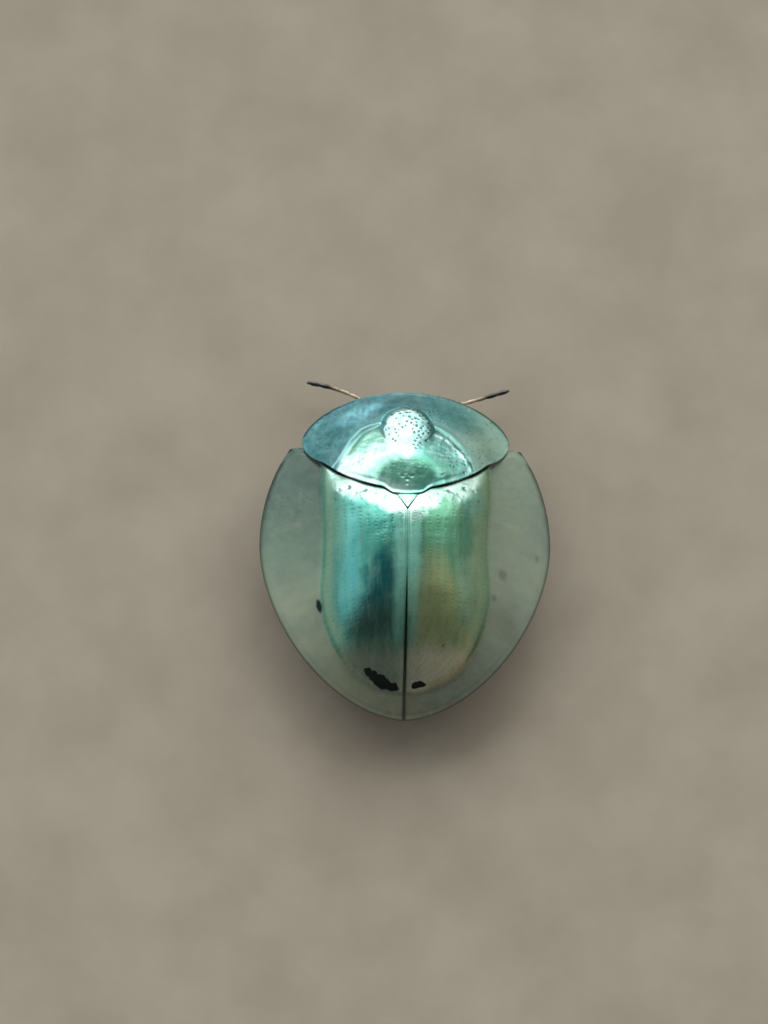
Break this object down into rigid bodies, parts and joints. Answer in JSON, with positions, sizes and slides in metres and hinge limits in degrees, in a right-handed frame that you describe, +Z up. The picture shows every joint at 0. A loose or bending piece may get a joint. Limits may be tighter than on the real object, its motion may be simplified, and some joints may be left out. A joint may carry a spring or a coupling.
{
  "type": "tortoise beetle",
  "caption": "Still, life-size tortoise beetle with broad clear shield margins and metallic wing cases, standing on its feet.",
  "frame": {"origin": "on the floor, under the middle of the whole animal", "axes": "+Y towards the head, +X towards the animal's right side, +Z up"},
  "size_m": [0.008, 0.0098, 0.0038],
  "materials": {
    "wing_case": "glossy metallic teal green cuticle, going over to clear pale green margins",
    "pronotum": "glossy metallic pale green cuticle, going over to clear pale green margins",
    "underside": "semi-gloss dark brown cuticle",
    "head": "semi-gloss brown cuticle",
    "eye": "gloss black, finely faceted",
    "feeler": "pale amber cuticle with black ends",
    "leg": "semi-gloss amber cuticle"
  },
  "bodies": {
    "root": {"pronotum": "pronotum", "scutellum": "wing_case", "elytron_left": "wing_case", "elytron_right": "wing_case", "prothorax": "underside", "thorax": "underside", "abdomen": "underside", "head": "head", "eye_left": "eye", "eye_right": "eye", "antenna_left": "feeler", "antenna_right": "feeler", "leg_front_left": "leg", "tarsus_front_left": "leg", "leg_front_right": "leg", "tarsus_front_right": "leg", "leg_middle_left": "leg", "tarsus_middle_left": "leg", "leg_middle_right": "leg", "tarsus_middle_right": "leg", "leg_hind_left": "leg", "tarsus_hind_left": "leg", "leg_hind_right": "leg", "tarsus_hind_right": "leg"}
  },
  "joints": []
}
